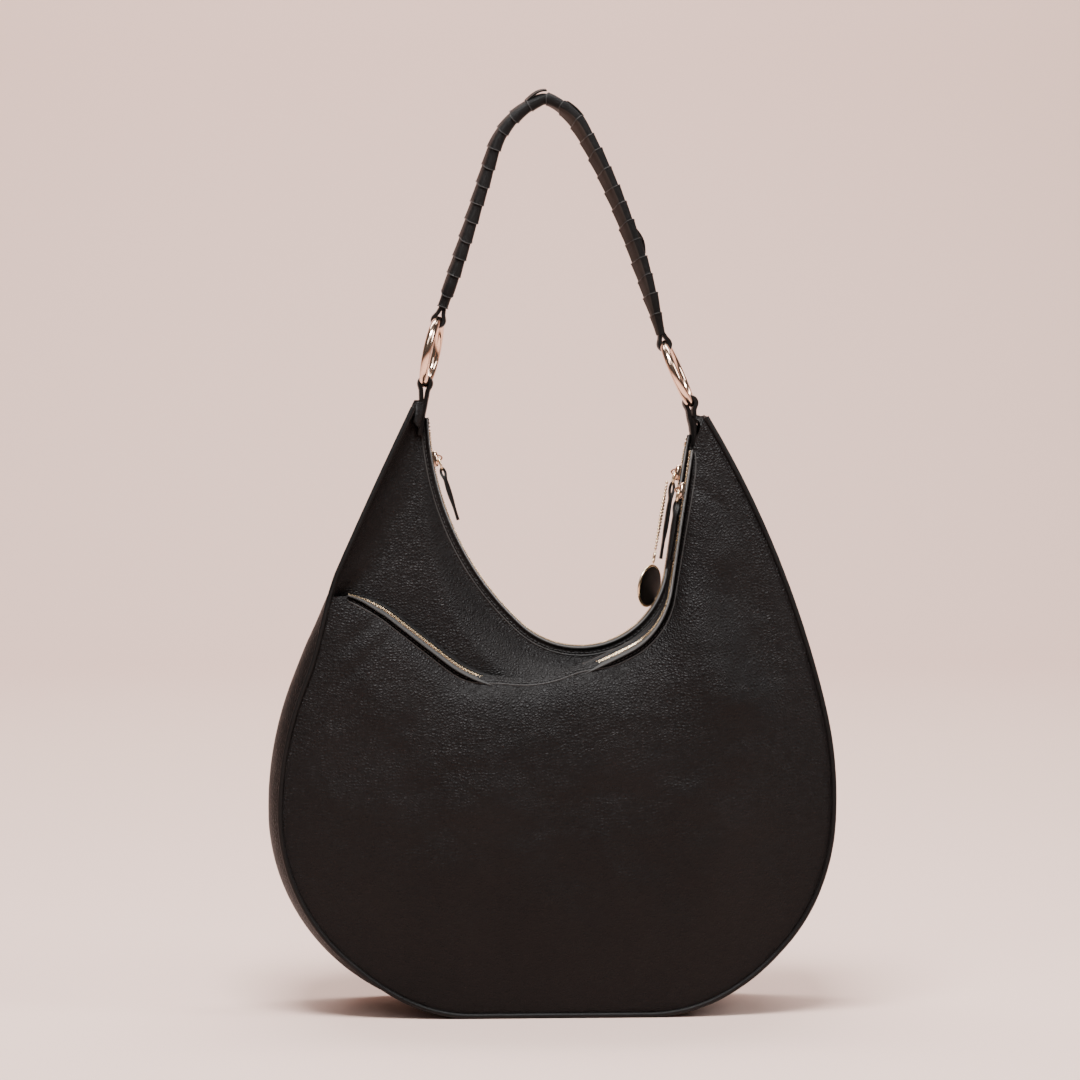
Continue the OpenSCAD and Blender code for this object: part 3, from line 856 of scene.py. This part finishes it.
def link_parts():
    """Round wire link, nearly a circle, between the slider's bail and the puller."""
    ring = []
    for k in range(49):
        a = 2*PI*k/48
        ring.append((LINK_R + LINK_R*math.cos(a), LINK_R*math.sin(a)*0.92, 0))
    wire = swept(ring, [(0, 0, 1)], (LINK_WIRE*1.02, LINK_WIRE*0.95), 12)
    return joined([wire])


def pull_matrix(route, s, plane, way, lift):
    m = frame_on(route, s, plane, PIVOT_UP)
    return m @ Matrix.Rotation(-math.radians(-lift if way > 0 else 180 + lift), 4, "Y").inverted()


def strip_along(curve, across, half_width, thickness):
    """A flat strip of leather along a curve, with a slightly crowned face."""
    curve = [Vector(p) for p in curve]
    grid = []
    for i, p in enumerate(curve):
        q = curve[min(i + 1, len(curve) - 1)] - curve[max(i - 1, 0)]
        a = Vector(across).normalized()
        up = q.normalized().cross(a)
        w = half_width(i/(len(curve) - 1)) if callable(half_width) else half_width
        row = []
        for j in range(9):
            t = -1 + j/4
            row.append(p + a*(w*t) + up*(thickness*0.25*(1 - t*t)))
        grid.append(row)
    return thick_sheet(np.array(grid, float), thickness)


def puller_parts(long, seed, split=0.55):
    """Folded leather leaf: two layers of one strip, looped through the link and open at the tip."""
    start = 2*LINK_R
    end = start + 2.2*MM + long

    def width(t):
        return mix(1.6*MM, 4.0*MM, ease(t*4.2))*(1 - 0.25*ease((t - 0.8)/0.2))

    layers = []
    for side in (-1, 1):
        curve = []
        for i in range(61):
            t = i/60
            x = mix(start - 1.9*MM, end, t)
            loop = 2.0*MM*math.sqrt(max(0.0, 1 - (1 - min(1.0, t*9))**2))
            belly = split*MM*math.sin(PI*min(1, t*1.05))**2
            z = side*(loop*(1 - ease((t - 0.10)/0.16)) + 0.75*MM*ease((t - 0.1)/0.16) + belly)
            z += 0.35*MM*noise.noise(Vector((x*70, side, seed)))
            curve.append((x, 0, z))
        layers.append(strip_along(curve, (0, side, 0), width, 1.6*MM))
    return joined(layers)


def add_pull(word, route, s, plane, way, lift, long, bodies, nodes, seed):
    head = -way
    slider_body, link_body, puller_body = bodies
    m = frame_on(route, s, plane)
    verts, faces = placed(slider_parts(head), m)
    make_object(f"{word}_slider_cast", verts, faces, ROSE, slider_body, "zip_metal", (nodes[0],),
                math.radians(40))
    m = pull_matrix(route, s, plane, way, lift)
    verts, faces = placed(link_parts(), m)
    make_object(f"{word}_link_wire", verts, faces, GOLD, link_body, "zip_metal", (nodes[1],))
    verts, faces = placed(puller_parts(long, seed), m)
    make_object(f"{word}_puller_leaf", verts, faces, TRIM, puller_body, "trim_leather", (nodes[2],))
    return m


add_pull("left", MAIN, MAIN_LEFT_S, MAIN_PLANE, 1, 8, 34*MM, ("slider_left", "pull_left", "pull_left"),
         ("main_slider_left", "main_link_left", "main_puller_left"), 1.0)
right_pull = add_pull("right", MAIN, L_MAIN - MAIN_RIGHT_INSET, MAIN_PLANE, -1, 0, 50*MM,
                      ("slider_right", "link_right", "puller_right"),
                      ("main_slider_right", "main_link_right", "main_puller_right"), 2.0)
add_pull("front", FRONT, L_FRONT - FRONT_INSET, FRONT_PLANE, -1, 0, 44*MM,
         ("slider_front", "link_front", "puller_front"), ("front_slider", "front_link", "front_puller"), 3.0)


# ---------------------------------------------------------------- charm: ball chain, ring and round tag
def charm_matrix():
    m = right_pull @ Matrix.Translation((CHARM_PIVOT, 0, -CHARM_OUT))
    return m @ Matrix.Rotation(math.radians(0.5), 4, "Y")


def ball(r, segments=14, rings=9):
    grid = []
    for i in range(1, rings):
        a = PI*i/rings
        grid.append([(-r*math.cos(a), r*math.sin(a)*math.cos(2*PI*k/segments),
                      r*math.sin(a)*math.sin(2*PI*k/segments)) for k in range(segments)])
    return tube(np.array(grid, float))


def torus(r, wire, stretch=1.0, steps=64, sides=18):
    points = [(r*stretch*math.cos(2*PI*k/steps), r*math.sin(2*PI*k/steps), 0) for k in range(steps)]
    grid = []
    for k, p in enumerate(points):
        w = 2*PI*k/steps
        out = Vector((math.cos(w), math.sin(w), 0))
        grid.append([Vector(p) + out*(wire*math.cos(2*PI*j/sides))
                     + Vector((0, 0, wire*math.sin(2*PI*j/sides))) for j in range(sides)])
    grid.append(grid[0])
    faces = []
    for i in range(steps):
        for j in range(sides):
            k = (j + 1) % sides
            n = (i + 1) % steps
            faces.append((i*sides + j, n*sides + j, n*sides + k, i*sides + k))
    return [tuple(v) for row in grid[:-1] for v in row], faces


CHAIN_END = BALLS*2.1*BALL_R + 2*MM
TAG_RING_R = 4*MM
TAG_R = 15*MM
TAG_X = CHAIN_END + 2*TAG_RING_R + TAG_R + 1.2*MM
TAG_TURN = math.radians(34)
charm_frame = charm_matrix()


def chain_strand(side):
    """Balls on a short wire, bowed away from the other strand."""
    parts = []
    points = []
    for i in range(BALLS + 1):
        t = i/BALLS
        x = i*2.1*BALL_R
        y = side*(0.95 + 1.1*math.sin(PI*t))*BALL_R
        points.append((x, y, 0.6*MM*side*math.sin(PI*t)))
        if i < BALLS or side > 0:
            parts.append(placed(ball(BALL_R*0.92), Matrix.Translation(points[-1])))
    parts.append(swept(points, [(0, 1, 0)], (0.28*MM, 0.28*MM), 8))
    return parts


verts, faces = placed(joined(chain_strand(-1) + chain_strand(1)), charm_frame)
make_object("charm_ball_chain", verts, faces, GOLD, "charm", "zip_metal", ("ball_chain",))
tag_ring_frame = charm_frame @ Matrix.Translation((CHAIN_END + TAG_RING_R, 0, 0))
verts, faces = placed(torus(TAG_RING_R, 0.7*MM), tag_ring_frame)
make_object("charm_ring_wire", verts, faces, GOLD, "charm", "zip_metal", ("tag_ring",))


def disc(r, thickness, crown, segments=72):
    """Round leather disc with soft edges and a slightly raised middle."""
    grid = []
    profile = [(0.02, crown), (0.35, crown*0.95), (0.7, crown*0.7), (0.9, crown*0.3), (0.97, 0.0),
               (1.0, -0.25)]
    rings = [(a, thickness/2 + b*MM) for a, b in profile]
    rings += [(a, -thickness/2 - b*MM) for a, b in profile[::-1]]
    for a, z in rings:
        grid.append([(r*a*math.cos(2*PI*k/segments), r*a*math.sin(2*PI*k/segments), z)
                     for k in range(segments)])
    return tube(np.array(grid, float))


at_tag = charm_frame @ Matrix.Translation((TAG_X, 0, 0)) @ Matrix.Rotation(TAG_TURN, 4, "X")
verts, faces = placed(disc(TAG_R - 1.3*MM, 1.8*MM, 0.35), at_tag)
make_object("charm_tag_leather", verts, faces, TRIM, "charm", "trim_leather", ("tag_disc",))
verts, faces = placed(torus(TAG_R - 0.9*MM, 0.95*MM, steps=96), at_tag)
make_object("charm_tag_rim", verts, faces, GOLD, "charm", "zip_metal", ("tag_rim",))


# ---------------------------------------------------------------- rings
LEFT_FOOT = (-87*MM, 431.5*MM)
RIGHT_FOOT = (95.6*MM, 418*MM)
LEFT_TOP = (-77.85*MM, 474.54*MM)
RIGHT_TOP = (77.70*MM, 458.20*MM)
RING_TURN = math.radians(-8.5)
LEAN = {"left": math.radians(12), "right": math.radians(-24)}


def o_ring(word, foot, body):
    m = (Matrix.Translation((foot[0], HANDLE_Y, foot[1])) @ Matrix.Rotation(LEAN[word], 4, "Y")
         @ Matrix.Rotation(RING_TURN, 4, "Z") @ Matrix.Translation((0, 0, RING_R))
         @ Matrix.Rotation(PI/2, 4, "Y"))
    verts, faces = placed(torus(RING_R, WIRE_R, steps=160, sides=36), m)
    make_object(f"{word}_ring_wire", verts, faces, ROSE, body, "ring_metal", (f"o_ring_{word}",))


o_ring("left", LEFT_FOOT, "ring_left")
o_ring("right", RIGHT_FOOT, "ring_right")


# ---------------------------------------------------------------- folded loops around the rings
def folded_loop(centre, base, bore, layer, spread, opening, half_width, seed):
    """One strip of leather: up from the base, around the ring wire and back to the base."""
    centre, base = Vector(centre), Vector(base)
    down = (base - centre)
    reach = down.length
    down.normalize()
    side = Vector((down.z, 0, -down.x))
    r = bore + layer/2
    curve = [base + side*spread, base.lerp(centre, 0.35) + side*spread*1.1]
    for k in range(25):
        a = opening + (2*PI - 2*opening)*k/24
        curve.append(centre + down*(r*math.cos(a)) + side*(r*math.sin(a)))
    curve += [base.lerp(centre, 0.35) - side*spread*1.1, base - side*spread]
    dense = []
    for a, b in zip(curve, curve[1:]):
        count = max(1, int((b - a).length/(0.6*MM)))
        dense += [a.lerp(b, k/count) for k in range(count)]
    dense.append(curve[-1])
    for _ in range(5):
        dense = [dense[0]] + [(a + b*2 + c)/4 for a, b, c in zip(dense, dense[1:], dense[2:])] + [dense[-1]]
    for i, p in enumerate(dense):
        p += side*(0.2*MM*noise.noise(Vector((i*0.11, seed, 0))))
    return strip_along(dense, (0, 1, 0), half_width, layer)


def tab(word, foot, root, seed):
    fx, fz = foot
    width = lambda t: mix(5.0*MM, 6.9*MM, math.sin(PI*t)**0.6)
    verts, faces = folded_loop((fx, HANDLE_Y, fz), (root[0], HANDLE_Y, root[1]), 3.9*MM, 2.7*MM,
                               1.5*MM, math.radians(40), width, seed)
    obj = make_object(f"{word}_tab_leather", verts, faces, TRIM, None, "trim_leather",
                      (f"tab_root_{word}", f"tab_loop_{word}"))
    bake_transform(obj)


tab("left", LEFT_FOOT, (-90.5*MM, 396*MM), 4.0)
tab("right", RIGHT_FOOT, (99.0*MM, 383*MM), 8.0)


def strap_end_loop(word, top, s, seed):
    x, z, h = spot(STRAP, s)
    inward = 1 if s == 0 else -1
    base = (x + inward*8*MM*math.cos(h), HANDLE_Y, z + inward*8*MM*math.sin(h))
    width = lambda t: mix(5.2*MM, 6.0*MM, math.sin(PI*t)**0.6)
    verts, faces = folded_loop((top[0], HANDLE_Y, top[1]), base, 3.9*MM, 2.4*MM, 1.4*MM,
                               math.radians(38), width, seed)
    make_object(f"{word}_strap_end", verts, faces, TRIM, "strap", "trim_leather", (f"strap_loop_{word}",))


strap_end_loop("left", LEFT_TOP, 0, 11.0)
strap_end_loop("right", RIGHT_TOP, L_STRAP, 14.0)

# ---------------------------------------------------------------- strap: core and lace
STRAP_HALF_W = 8.3*MM
STRAP_HALF_T = 3.1*MM
LACE_T = 1.1*MM
WRAP_PITCH = 13.0
TWIST_LEFT = math.radians(9)
TWIST_RIGHT = math.radians(-15)
PEAK_S = 168


def strap_twist(s):
    turn = mix(TWIST_LEFT, TWIST_RIGHT, ease((s - PEAK_S + 12)/40))
    return turn*min(ease(s/24), ease((L_STRAP - s)/50))


def strap_taper(s):
    return mix(0.78, 1.0, min(ease(s/16), ease((L_STRAP - s)/26)))


def strap_axes(s):
    """Centre, tangent, width direction and outward direction of the strap."""
    s = min(L_STRAP, max(0, s))
    x, z, h = spot(STRAP, s)
    out = Vector((-math.sin(h), 0, math.cos(h)))
    wide = Vector((0, 1, 0))
    w = strap_twist(s)
    return (Vector((x, HANDLE_Y, z)), Vector((math.cos(h), 0, math.sin(h))),
            wide*math.cos(w) + out*math.sin(w), out*math.cos(w) - wide*math.sin(w))


def strap_ring(s, grow, slant=0.0, sides=40):
    """One cross-section, rounded at its edges; slant leans it along the strap."""
    row = []
    for k in range(sides):
        a = 2*PI*k/sides
        c = math.copysign(abs(math.cos(a))**0.62, math.cos(a))
        n = math.copysign(abs(math.sin(a))**0.62, math.sin(a))
        here = s + slant*math.cos(a)
        p, _, wide, out = strap_axes(here)
        k_taper = strap_taper(here)
        row.append(p + wide*((STRAP_HALF_W*k_taper + grow)*c) + out*((STRAP_HALF_T*k_taper + grow)*n))
    return row


core = np.array([strap_ring(mix(1.5, L_STRAP - 1.5, i/140), 0) for i in range(141)], float)
verts, faces = tube(core)
make_object("strap_core_leather", verts, faces, TRIM, "strap", "trim_leather", ("strap_core",))


def is_underside(k, sides=40):
    return sides*0.53 < k < sides*0.97


def lace_turns():
    """Turns of lace, each lying over the end of the one before, with a step and a cut edge."""
    top, under, edges = [], [], []
    s = -3.0
    i = 0
    while s < L_STRAP - 6:
        pitch = WRAP_PITCH*(1 + 0.06*math.sin(i*2.3))
        end = min(s + pitch + 3, L_STRAP + 1)
        slant = 1.8 + 0.9*math.sin(i*1.9)
        lift = 0.30*MM + 0.16*MM*math.sin(i*3.1)
        rows = []
        for j in range(9):
            t = j/8
            grow = LACE_T*0.55 + (LACE_T*0.5 + lift)*(1 - t)**1.3
            rows.append(strap_ring(mix(s, end, t), grow, slant))
        inner = strap_ring(s, 0.1*MM, slant)
        grid = np.array([inner] + rows, float)
        cols = grid.shape[1]
        flat = [tuple(v) for v in grid.reshape(-1, 3)]
        faces = grid_faces(len(grid), cols, True)
        brown = s > PEAK_S + 4
        top.append((flat, [f for n, f in enumerate(faces) if not (brown and is_underside(n % cols))]))
        if brown:
            under.append((flat, [f for n, f in enumerate(faces) if is_underside(n % cols)]))
        edges.append(swept(rows[0] + [rows[0][0]], [(0, 1, 0.3)], (0.3*MM, 0.3*MM), 8))
        s += pitch
        i += 1
    return joined(top), joined(under), joined(edges)


turns, undersides, cut_edges = lace_turns()
make_object("strap_lace_turns", *turns, LACE, "strap", "lace_leather", ("strap_wrap",))
make_object("strap_lace_underside", *undersides, SUEDE, "strap", "lace_leather")
make_object("strap_lace_edges", *cut_edges, EDGE_PAINT_AND_PAINTED_HIGHLIGHT, "strap", "lace_leather")


def lace_end(s0, s1, lift, curl, half, outward=1):
    """A free end or slack bight of lace that stands off the strap."""
    curve = []
    for i in range(25):
        t = i/24
        p, _, wide, out = strap_axes(mix(s0, s1, t))
        curve.append(p + out*outward*(STRAP_HALF_T + LACE_T + lift*math.sin(curl*t)))
    _, _, wide, _ = strap_axes((s0 + s1)/2)
    return strip_along(curve, wide*outward, half, LACE_T)


flap = joined([lace_end(PEAK_S - 16, PEAK_S - 3, 2.4*MM, PI*0.5, 6.5*MM),
               lace_end(PEAK_S + 10, PEAK_S + 24, 0.9*MM, PI*0.6, 7.0*MM)])
make_object("strap_lace_end", *flap, LACE, "strap", "lace_leather")
bight = lace_end(L_STRAP - 74, L_STRAP - 56, 2.0*MM, PI, 5.5*MM)
make_object("strap_lace_bight", *bight, LACE, "strap", "lace_leather")


# ---------------------------------------------------------------- gathered tips under the tabs
def tip_cap(word, edge_out, edge_in, neck):
    """Leather gathered from the gusset and the panels up around the root of a tab."""
    ox, oz = edge_out[0], edge_out[1]
    ix, iz = edge_in[0], edge_in[1]
    centre = Vector(((ox + ix)/2, 0.5*MM, (oz + iz)/2))
    along_tip = Vector((ix - ox, 0, iz - oz))
    half = along_tip.length/2
    along_tip.normalize()
    top = Vector((neck[0], HANDLE_Y, neck[1]))
    grid = []
    for i in range(19):
        t = i/18
        c = centre.lerp(top, t) + Vector((0, 0, -7*MM*(1 - t)**2))
        flat = along_tip.lerp(Vector((1, 0, 0)), ease(t)).normalized()
        a = mix(half + 1.2*MM, 4.6*MM, ease(t**0.8))
        b = mix(TIP_HALF + 1.4*MM, 7.4*MM, ease(t**0.8))
        row = []
        for k in range(48):
            w = 2*PI*k/48
            pleat = 1 + 0.05*math.sin(7*w + 2*t)*math.sin(PI*t)
            cs = math.copysign(abs(math.cos(w))**0.75, math.cos(w))
            sn = math.copysign(abs(math.sin(w))**0.75, math.sin(w))
            row.append(c + flat*(a*cs*pleat) + Vector((0, b*sn*pleat, 0)))
        grid.append(row)
    verts, faces = tube(np.array(grid, float))
    make_object(f"{word}_tip_gather", verts, faces, PEBBLE, "bag", "panel_leather")


tip_cap("left", spot(OUTLINE, 1 - OUTLINE_BEFORE), (-91.5*MM, 408*MM), (-90*MM, 420*MM))
tip_cap("right", spot(OUTLINE, L_OUT + OUTLINE_AFTER - 1), (98*MM, 397*MM), (100*MM, 409*MM))


# ---------------------------------------------------------------- turned edges, with lighter lines painted on as their highlight, and stitching
EDGE_FROM_ZIP = 5.0*MM
STITCH_FROM_ZIP = 3.2*MM
STITCH = 3.0*MM


def edge_place(point, u, distance):
    a, b = Vector(point(u, 0.0)), Vector(point(u, 1.0))
    v = distance/(b - a).length
    p, q, r = Vector(point(u, v)), Vector(point(u, v + 0.01)), Vector(point(min(1, u + 0.002), v))
    return p, (q - p).normalized(), (r - p).normalized()


def edge_work(name, point, out, u0=0.01, u1=0.99, stitched_to=0.99, count=420):
    """A lighter line along the raised turned edge beside a zip, a painted highlight for the light on its
    ridge, and the row of stitches that holds it.
    """
    line, threads = [], []
    for i in range(count):
        u = mix(u0, u1, i/(count - 1))
        p, down, _ = edge_place(point, u, EDGE_FROM_ZIP)
        line.append(p + Vector((0, out*0.05*MM, 0)))
    # the lighter tube is a painted highlight along the turned edge's ridge, not the leather's own colour
    verts, faces = swept(line, [(0, 1, 0)], (0.34*MM, 0.5*MM), 8)
    make_object(f"{name}_turned_edge_painted_highlight", verts, faces, EDGE_PAINT_AND_PAINTED_HIGHLIGHT, "bag", "trim_leather")
    walked, last = 0.0, None
    for i in range(count*4):
        u = mix(u0, stitched_to, i/(count*4 - 1))
        p, down, ahead = edge_place(point, u, STITCH_FROM_ZIP)
        if last is not None:
            walked += (p - last).length
        last = p
        if walked >= STITCH:
            walked = 0.0
            lift = Vector((0, out*0.28*MM, 0))
            ends = [p - ahead*1.0*MM - lift*0.8, p - ahead*0.5*MM + lift, p + ahead*0.5*MM + lift,
                    p + ahead*1.0*MM - lift*0.8]
            threads.append(swept(ends, [(0, 1, 0)], (0.22*MM, 0.22*MM), 6))
    verts, faces = joined(threads)
    make_object(f"{name}_stitches", verts, faces, THREAD, "bag", "trim_leather")


# The front row of stitches ends at this share of its edge, about 26 mm along the zip from the front
# slider's lowest place, and the rest of that edge has none
FRONT_STITCHED_TO = 0.68
edge_work("front_edge", front_point, -1, stitched_to=FRONT_STITCHED_TO)
edge_work("middle_edge", middle_point, -1)
edge_work("back_edge", back_point, 1)


def upper_binding():
    """Turned leather above the front zip, sewn to the middle panel."""
    grid = []
    for i in range(300):
        s = mix(0.5, L_FRONT - 70, i/299)
        m = frame_on(FRONT, s, FRONT_PLANE)
        up = FRONT_PLANE.to_3x3() @ Vector((-math.sin(spot(FRONT, s)[2]), 0, math.cos(spot(FRONT, s)[2])))
        edge = m @ Vector((0, 4.4*MM, 0.7*MM))
        fade = ease(i/20)
        grid.append([edge, edge + up*0.5*MM + Vector((0, 0.3*MM, 0)),
                     edge + up*1.4*MM*fade + Vector((0, 1.2*MM, 0)),
                     edge + up*2.0*MM*fade + Vector((0, 3.0*MM, 0))])
    grid = np.array(grid, float)
    if not outward(grid, -1):
        grid = grid[::-1]
    verts, faces = thick_sheet(grid, 1.0*MM)
    make_object("front_zip_upper_binding", verts, faces, TRIM, "bag", "trim_leather")
    line = [tuple(r) for r in grid[:, 0]]
    verts, faces = swept(line, [(0, 1, 0)], (0.35*MM, 0.35*MM), 8)
    make_object("front_zip_upper_edge", verts, faces, TRIM, "bag", "trim_leather")


upper_binding()
